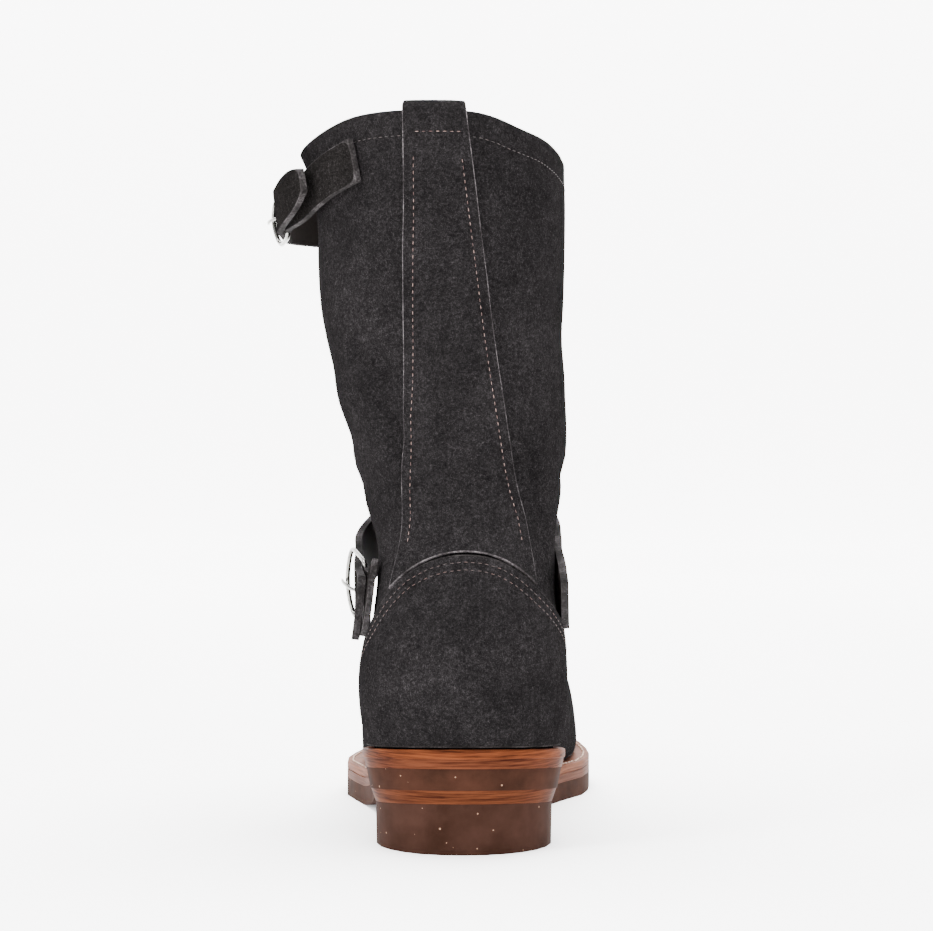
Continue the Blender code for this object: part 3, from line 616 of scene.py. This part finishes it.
# %% [markdown]
# ## Nap
# Raised fibres make the outline of suede soft and give it its grain. A particle system would
# grow them only while rendering, and they should also be in the exported model. So each one
# is a single thin triangle, rooted on an outer face and leaning downwards, the way the nap
# was brushed. There are many thousands, so one list of points makes them faster than an
# operator for each. Faces are picked by their area, so the fibres lie evenly. The seed is
# fixed, so every run grows the same nap. A fibre is dry and matt, a little paler than the
# hide, because light shines through it.

# %% Nap fibres
FIBRES_PER_CM2 = 46
CM2_PER_M2 = 1e4
FIBRE_LIMIT = 90000
FIBRE_WIDTH = 0.06  # half a root's width, in mm
SHORT_SHARE = 0.9
SHORT_FIBRE = (0.4, 1.0)
LONG_FIBRE = (1.0, 1.9)
FIBRE_RISE = (0.4, 1.0)
BRUSHED_DOWN = Vector((0, 0, 0.6))
STRAY = 0.8
LEAN = 0.45
TWIST = 0.5


def grow_nap(name, obj, finish, seed):
    chance = random.Random(seed)
    mesh = obj.data
    faces = [face for face in mesh.polygons if face.material_index == 0]
    areas = [face.area for face in faces]
    count = min(round(sum(areas) * CM2_PER_M2 * FIBRES_PER_CM2), FIBRE_LIMIT)
    points, fibres = [], []
    for face in chance.choices(faces, weights=areas, k=count):
        corners = [mesh.vertices[k].co for k in face.vertices]
        root = corners[0].lerp(corners[1], chance.random())
        root = root.lerp(corners[2].lerp(corners[-1], chance.random()), chance.random())
        normal = face.normal
        stray = Vector([chance.uniform(-1, 1) for _ in range(3)])
        lie = stray * STRAY - BRUSHED_DOWN
        reach = chance.uniform(*(SHORT_FIBRE if chance.random() < SHORT_SHARE else LONG_FIBRE))
        tip = root + (normal * chance.uniform(*FIBRE_RISE) + lie * LEAN) * reach * MM
        side = (tip - root).cross(normal + stray * TWIST).normalized() * (FIBRE_WIDTH * MM)
        start = len(points)
        points += [root - side, root + side, tip]
        fibres.append((start, start + 1, start + 2))
    nap = bpy.data.meshes.new(name)
    nap.from_pydata(points, [], fibres)
    made = object_from(name, nap, finish)
    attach(made, "root")
    print(name, "has", len(fibres), "fibres")


def fibre_material():
    made, tree, shader, place = new_material("loose_fibres", 0.95)
    tone = add_node(tree, "TexNoise", Vector=place, Scale=1 / (0.5 * MM), Detail=1.0)
    colour = add_node(tree, "ValToRGB", {"stops": ((0.35, "0c0b0c"), (0.55, "232122"), (0.7, "454243"))},
                      Fac=tone.outputs[0])
    tree.links.new(colour.outputs[0], shader.inputs["Base Color"])
    shader.inputs["Specular IOR Level"].default_value = 0.1
    return made


NAPS = ("shell_nap", "counter_nap", "vamp_nap", "backstay_nap", "ankle_strap_nap", "ankle_base_nap",
        "top_strap_nap", "top_base_nap")
fibre_finish = fibre_material()
for seed, (name, piece) in enumerate(zip(NAPS, (upper, counter, vamp, backstay, *straps))):
    grow_nap(name, piece, fibre_finish, seed)

# %% [markdown]
# ## The sole
# The sole is a stack: rubber, a leather midsole and the welt, with a leather lift and a
# rubber block under the heel. Its edge is trimmed on a wheel, wetted, and rubbed with hot
# wax, so the leather layers are a warm brown with fine lines along them. The lighter lines
# are partly that burnish and partly painted highlights, the glossy streaks the edge would
# show, since the leather here reflects almost nothing. The colour is more orange at the heel
# and duller at the forefoot. The rubber has ground cork in it, which shows as small pale
# specks. Both reflect very little of the white studio.

# %% Sole leather and cork rubber
HEEL_COLOUR_END = 0.030
TOE_COLOUR_START = 0.085
CORK = "7c6250"
SOLE_GLOSS = 0.012


def sole_leather_material(name, heel_dark, heel_light, toe_dark, toe_light):
    made, tree, shader, place = new_material(name, 0.5)
    apart = add_node(tree, "SeparateXYZ", Vector=place)
    along = add_node(tree, "MapRange", {"interpolation_type": "SMOOTHSTEP"}, Value=apart.outputs["Y"],
                     i1=HEEL_COLOUR_END, i2=TOE_COLOUR_START)
    squeezed = add_node(tree, "Mapping", Vector=place, Scale=(0.3, 0.3, 8))
    # Lines stretched along the edge: partly the burnish and partly painted highlight streaks.
    lines_and_highlights = add_node(tree, "TexNoise", Vector=squeezed.outputs[0], Scale=1 / (7 * MM), Detail=5.0,
                      Roughness=0.65)
    heel = add_node(tree, "ValToRGB", {"stops": ((0.34, heel_dark), (0.62, heel_light))},
                    Fac=lines_and_highlights.outputs[0])
    toe = add_node(tree, "ValToRGB", {"stops": ((0.34, toe_dark), (0.62, toe_light))},
                   Fac=lines_and_highlights.outputs[0])
    colour = add_node(tree, "Mix", {"data_type": "RGBA"}, Factor=along.outputs[0], i6=heel.outputs[0],
                      i7=toe.outputs[0])
    bump = add_node(tree, "Bump", Strength=0.25, Distance=0.2 * MM, Height=lines_and_highlights.outputs[0])
    tree.links.new(colour.outputs[2], shader.inputs["Base Color"])
    tree.links.new(bump.outputs[0], shader.inputs["Normal"])
    shader.inputs["Specular IOR Level"].default_value = SOLE_GLOSS
    return made


def cork_rubber_material(name, dark, light):
    made, tree, shader, place = new_material(name, 0.7)
    cloud = add_node(tree, "TexNoise", Vector=place, Scale=1 / (16 * MM), Detail=5.0, Roughness=0.6)
    body = add_node(tree, "ValToRGB", {"stops": ((0.3, dark), (0.7, light))}, Fac=cloud.outputs[0])
    cells = add_node(tree, "TexVoronoi", Vector=place, Scale=1 / (2.9 * MM), Randomness=1.0)
    pick = add_node(tree, "SeparateColor", Color=cells.outputs["Color"])
    size = add_node(tree, "MapRange", Value=pick.outputs[0], i1=0.45, i2=1.0, i3=0.0, i4=0.15)
    speck = add_node(tree, "Math", {"operation": "LESS_THAN"}, i0=cells.outputs["Distance"],
                     i1=size.outputs[0])
    colour = add_node(tree, "Mix", {"data_type": "RGBA"}, Factor=speck.outputs[0], i6=body.outputs[0],
                      i7=hex_colour(CORK))
    fine = add_node(tree, "TexNoise", Vector=place, Scale=1 / (1.2 * MM), Detail=4.0)
    bump = add_node(tree, "Bump", Strength=0.18, Distance=0.15 * MM, Height=fine.outputs[0])
    tree.links.new(colour.outputs[2], shader.inputs["Base Color"])
    tree.links.new(bump.outputs[0], shader.inputs["Normal"])
    shader.inputs["Specular IOR Level"].default_value = SOLE_GLOSS
    return made


welt_leather = sole_leather_material("burnished_welt_leather", "1e0b05", "5a2f1a", "3a1e13", "603b2a")
midsole_leather = sole_leather_material("burnished_midsole_leather", "200c06", "4e2a1a",
                                        "301910", "4e2e21")
lift_leather = sole_leather_material("burnished_heel_lift", "200c06", "4c2918", "200c06", "4c2918")
block_rubber = cork_rubber_material("cork_rubber_heel", "22140e", "31201a")
sole_rubber = cork_rubber_material("cork_rubber_sole", "20130d", "321e16")
print("sole: three leathers and two rubbers made")

# %% [markdown]
# Each layer of the sole is copied and its corners are bevelled, because light catches a
# rounded corner and that line is what separates the layers to the eye. The solids stay a
# little apart, and glued layers do not, so each copy also grows until it meets the next.

# %% Sole layers
LAYER_GROWTH = 0.165
LEVEL_ENOUGH = 0.1
ON_FLOOR = 0.1 * MM
SHARP = math.radians(50)
LAYERS = (
    ("rubber_sole", "outsole", sole_rubber, "rubber", 0.5),
    ("middle_sole", "midsole", midsole_leather, "sole_leather", 0.5),
    ("stitched_welt", "welt", welt_leather, "welt_leather", 0.7),
    ("leather_lift", "heel_lift", lift_leather, "sole_leather", 0.8),
    ("rubber_heel", "heel_block", block_rubber, "rubber", 0.5),
)


def sole_layer(name, node, finish, slot, rounding):
    """A copy of a layer that grows up and down, but not into the floor; rounding is in mm."""
    bm = merged_copy(node)
    for vertex in bm.verts:
        level = sum(face.normal.z for face in vertex.link_faces)
        if abs(level) > LEVEL_ENOUGH and vertex.co.z >= ON_FLOOR:
            vertex.co.z += math.copysign(LAYER_GROWTH * MM, level)
    round_corners(bm, rounding, segments=3)
    obj = make_piece(name, bm, finish)
    obj.data.set_sharp_from_angle(angle=SHARP)
    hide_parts(node)
    print(name, "has", len(obj.data.polygons), "faces")
    return obj


sole_layers = {layer[0]: sole_layer(*layer) for layer in LAYERS}

# %% [markdown]
# The insole is plain vegetable-tanned leather, which only shows when one looks down the
# shaft: a light brown, stained in soft patches. The CAD piece is right as it is, so it only
# gets a finish.

# %% Insole


def insole_material():
    made, tree, shader, place = new_material("vegetable_tanned_insole", 0.68)
    stain = add_node(tree, "TexNoise", Vector=place, Scale=1 / (24 * MM), Detail=5.0)
    colour = add_node(tree, "ValToRGB", {"stops": ((0.3, "6c4c32"), (0.7, "8c6a4c"))},
                      Fac=stain.outputs[0])
    tree.links.new(colour.outputs[0], shader.inputs["Base Color"])
    shader.inputs["Specular IOR Level"].default_value = 0.1
    return made


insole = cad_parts["insole"]
insole.data.materials.clear()
insole.data.materials.append(insole_material())
print("the insole keeps its", len(insole.data.polygons), "CAD faces")

# %% [markdown]
# ## Welt stitching
# The welt shows a row of thick lockstitches on its top, from waist to waist round the
# forefoot. The top's own outer edge guides the row, as the sole stitcher's guide does.

# %% Welt seam
WELT_ROW_START = 0.055

bm = merged_copy("welt")
top = max(floods(bm), key=lambda group: sum(face.normal.z * face.calc_area() for face in group))
rim = max(edge_lines(top), key=lambda line: max(point.y for point, _ in line))
bm.free()
welt_tree = tree_of(sole_layers["stitched_welt"])
rows = rows_beside(rim, (2.6,), welt_tree, lambda spot: spot.y > WELT_ROW_START)
sew("welt_seam", rows, welt_tree, welt_thread, pitch=3.6, length=2.9, thickness=0.95)

# %% [markdown]
# ## Buckles
# Each buckle is a frame of bent wire, plated with nickel. The CAD wire has few sides, so its
# copy is smoothed. Nickel is a slightly warm mirror, and fine scuffs make it rougher in
# places.

# %% Nickel buckles
WIRES = (("ankle_buckle", "instep_buckle"), ("ankle_prong", "instep_prong"),
         ("top_buckle", "collar_buckle"), ("top_prong", "collar_prong"))


def nickel_material():
    made, tree, shader, place = new_material("polished_nickel", 0.22, 1.0)
    scuff = add_node(tree, "TexNoise", Vector=place, Scale=1 / (1.8 * MM), Detail=4.0)
    colour = add_node(tree, "ValToRGB", {"stops": ((0.3, "6c6b68"), (0.7, "94938f"))},
                      Fac=scuff.outputs[0])
    rough = add_node(tree, "MapRange", Value=scuff.outputs[0], i3=0.14, i4=0.34)
    tree.links.new(colour.outputs[0], shader.inputs["Base Color"])
    tree.links.new(rough.outputs[0], shader.inputs["Roughness"])
    return made


def buckle_wire(name, node, finish):
    obj = make_piece(name, merged_copy(node), finish)
    subdivide(obj)
    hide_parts(node)
    print(name, "has", len(obj.data.polygons), "faces")


nickel = nickel_material()
for name, node in WIRES:
    buckle_wire(name, node, nickel)

# %% [markdown]
# ## Floor, light and camera
# A pale floor runs far back and curves up, so that there is no horizon. The photographer's
# sweep is lit from behind, so here it glows by itself, more and more towards the back.

# %% Floor
FLOOR_REACH = 20.0
SWEEP_START = 4.0
SWEEP_RADIUS = 1.5
SWEEP_STEPS = 12
WALL_HEIGHT = 3.0
FLOOR_GLOW = 0.2
SWEEP_GLOW = 6.0
GLOW_START = -0.2
GLOW_FULL = 2.6


def floor_material():
    made, tree, shader, place = new_material("matt_white_floor", 0.9)
    tone = add_node(tree, "TexNoise", Vector=place, Scale=1.2, Detail=2.0)
    colour = add_node(tree, "ValToRGB", {"stops": ((0.3, "f6f5f5"), (0.7, "f9f8f8"))},
                      Fac=tone.outputs[0])
    apart = add_node(tree, "SeparateXYZ", Vector=place)
    glow = add_node(tree, "MapRange", {"interpolation_type": "SMOOTHSTEP"}, Value=apart.outputs["Y"],
                    i1=GLOW_START, i2=GLOW_FULL, i3=FLOOR_GLOW, i4=SWEEP_GLOW)
    tree.links.new(colour.outputs[0], shader.inputs["Base Color"])
    tree.links.new(glow.outputs[0], shader.inputs["Emission Strength"])
    shader.inputs["Emission Color"].default_value = hex_colour("fbfafa")
    return made


def verts_in(geometry):
    return [item for item in geometry if isinstance(item, bmesh.types.BMVert)]


def edges_in(geometry):
    return [item for item in geometry if isinstance(item, bmesh.types.BMEdge)]


bm = bmesh.new()
front = bm.edges.new([bm.verts.new((x, -FLOOR_REACH, 0)) for x in (-FLOOR_REACH, FLOOR_REACH)])
flat = bmesh.ops.extrude_edge_only(bm, edges=[front])["geom"]
bmesh.ops.translate(bm, verts=verts_in(flat), vec=(0, FLOOR_REACH + SWEEP_START, 0))
curve = bmesh.ops.spin(bm, geom=edges_in(flat), cent=(0, SWEEP_START, SWEEP_RADIUS), axis=(1, 0, 0),
                       dvec=(0, 0, 0), angle=math.pi / 2, steps=SWEEP_STEPS)["geom_last"]
wall = bmesh.ops.extrude_edge_only(bm, edges=edges_in(curve))["geom"]
bmesh.ops.translate(bm, verts=verts_in(wall), vec=(0, 0, WALL_HEIGHT))
bmesh.ops.recalc_face_normals(bm, faces=bm.faces)
floor = object_from("floor", mesh_from("floor", bm), floor_material())
print("floor:", [round(side, 2) for side in floor.dimensions], "m")

# %% [markdown]
# A broad softbox overhead and two beside the camera give a shadow that is soft and short.
# The left one is the stronger, as it is in the photograph, and a pale world fills the rest.

# %% Lights
WORLD_STRENGTH = 0.9
Softbox = namedtuple("Softbox", "name place aim size power")
SOFTBOXES = (
    Softbox("overhead", (0, 0.1, 1.9), (0, 0.05, 0.1), 1.6, 270),
    Softbox("left_of_camera", (-1.7, -1.3, 1.2), (0, 0, 0.15), 0.7, 72),
    Softbox("right_of_camera", (0.8, -2.0, 0.9), (0, 0, 0.15), 0.8, 36),
)

for box in SOFTBOXES:
    light = bpy.data.lights.new(box.name, "AREA")
    light.shape = "SQUARE"
    light.size = box.size
    light.energy = box.power
    lamp = bpy.data.objects.new(box.name, light)
    lamp.location = box.place
    lamp.rotation_euler = (Vector(box.aim) - Vector(box.place)).to_track_quat("-Z", "Y").to_euler()
    bpy.context.scene.collection.objects.link(lamp)

world = bpy.data.worlds.new("studio")
bpy.context.scene.world = world
world.use_nodes = True
sky = world.node_tree.nodes["Background"]
sky.inputs["Color"].default_value = hex_colour("f4f5f7")
sky.inputs["Strength"].default_value = WORLD_STRENGTH
print("lights:", ", ".join(f"{box.name} {box.power} W" for box in SOFTBOXES))

# %% [markdown]
# The photograph looks at the boot from straight behind, level, from about a metre away.
# That nearness makes the forefoot look narrower than it is, so the camera's place was worked
# out from that, and the lens follows from the boot's height in the picture.

# %% Camera
LENS = 99
SENSOR = 36
SHIFT_UP = 0.0086
BACK_AWAY = 0.988
EYE_HEIGHT = 0.1428
SIDEWAYS = 0.0012

camera = bpy.data.cameras.new("camera")
camera.lens = LENS
camera.sensor_width = SENSOR
camera.shift_y = SHIFT_UP
camera_object = bpy.data.objects.new("camera", camera)
camera_object.location = (SIDEWAYS, -BACK_AWAY, EYE_HEIGHT)
camera_object.rotation_euler = (math.pi / 2, 0, 0)
bpy.context.scene.collection.objects.link(camera_object)
bpy.context.scene.camera = camera_object
print("camera:", LENS, "mm lens,", BACK_AWAY, "m behind the boot's axis")
